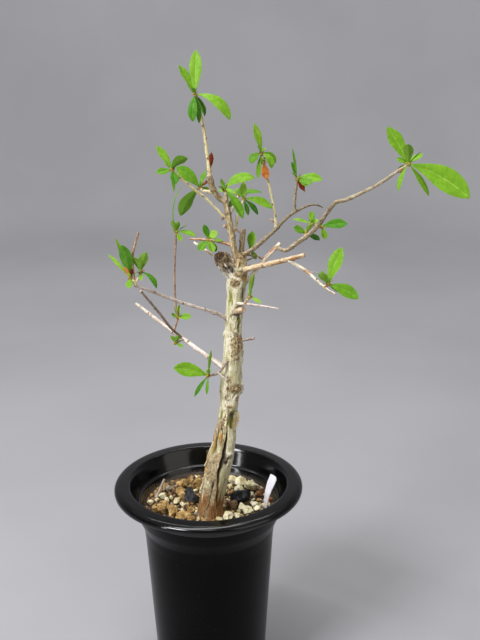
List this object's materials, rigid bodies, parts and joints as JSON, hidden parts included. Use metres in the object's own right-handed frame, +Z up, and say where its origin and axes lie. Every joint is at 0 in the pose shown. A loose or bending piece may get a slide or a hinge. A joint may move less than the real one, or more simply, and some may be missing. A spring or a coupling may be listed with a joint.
{
  "type": "potted myrrh shrub",
  "caption": "Small leaning shrub with a pale trunk, cut back boughs and loose rosettes of bright leaves, growing in a tall flared black pot.",
  "frame": {"origin": "centre of the pot's flat underside", "axes": "+Z up, +X to the right and +Y to the back of the plant as the picture shows it"},
  "size_m": [0.2505, 0.15, 0.5089],
  "materials": {
    "pot_plastic": "glossy black moulded plastic",
    "soil": "gritty mix of ochre grit, pale pumice and black charcoal",
    "label_plastic": "plain white, blank",
    "pale_bark": "pale peeling bark with olive patches",
    "brown_bark": "thin brown bark with pale nodes",
    "foliage": "bright green leaves on straw coloured twigs"
  },
  "bodies": {
    "root": {"back_foliage": "foliage", "bare_left_twig": "brown_bark", "dead_right_stub": "brown_bark", "far_left_foliage": "foliage", "far_right_foliage": "foliage", "fork_foliage": "foliage", "leader": "brown_bark", "leader_left_foliage": "foliage", "leader_left_stub": "brown_bark", "leader_right_foliage": "foliage", "leader_right_stub": "brown_bark", "leader_tip_foliage": "foliage", "left_shoot_foliage": "foliage", "left_spur_foliage": "foliage", "left_wand_foliage": "foliage", "long_right_bough": "brown_bark", "low_left_brown_bough": "brown_bark", "low_left_foliage": "foliage", "low_left_pale_bough": "pale_bark", "pale_cut_bough": "pale_bark", "plant_label": "label_plastic", "pot": "pot_plastic", "pruned_knob": "brown_bark", "right_back_foliage": "foliage", "right_front_foliage": "foliage", "right_spur_foliage": "foliage", "right_wand_foliage": "foliage", "soil": "soil", "tan_cut_bough": "brown_bark", "top_foliage": "foliage", "trunk": "pale_bark", "trunk_left_foliage": "foliage", "trunk_right_foliage": "foliage", "upper_left_bough": "brown_bark", "upper_right_bough": "brown_bark", "upright_stub": "brown_bark"}
  },
  "joints": []
}
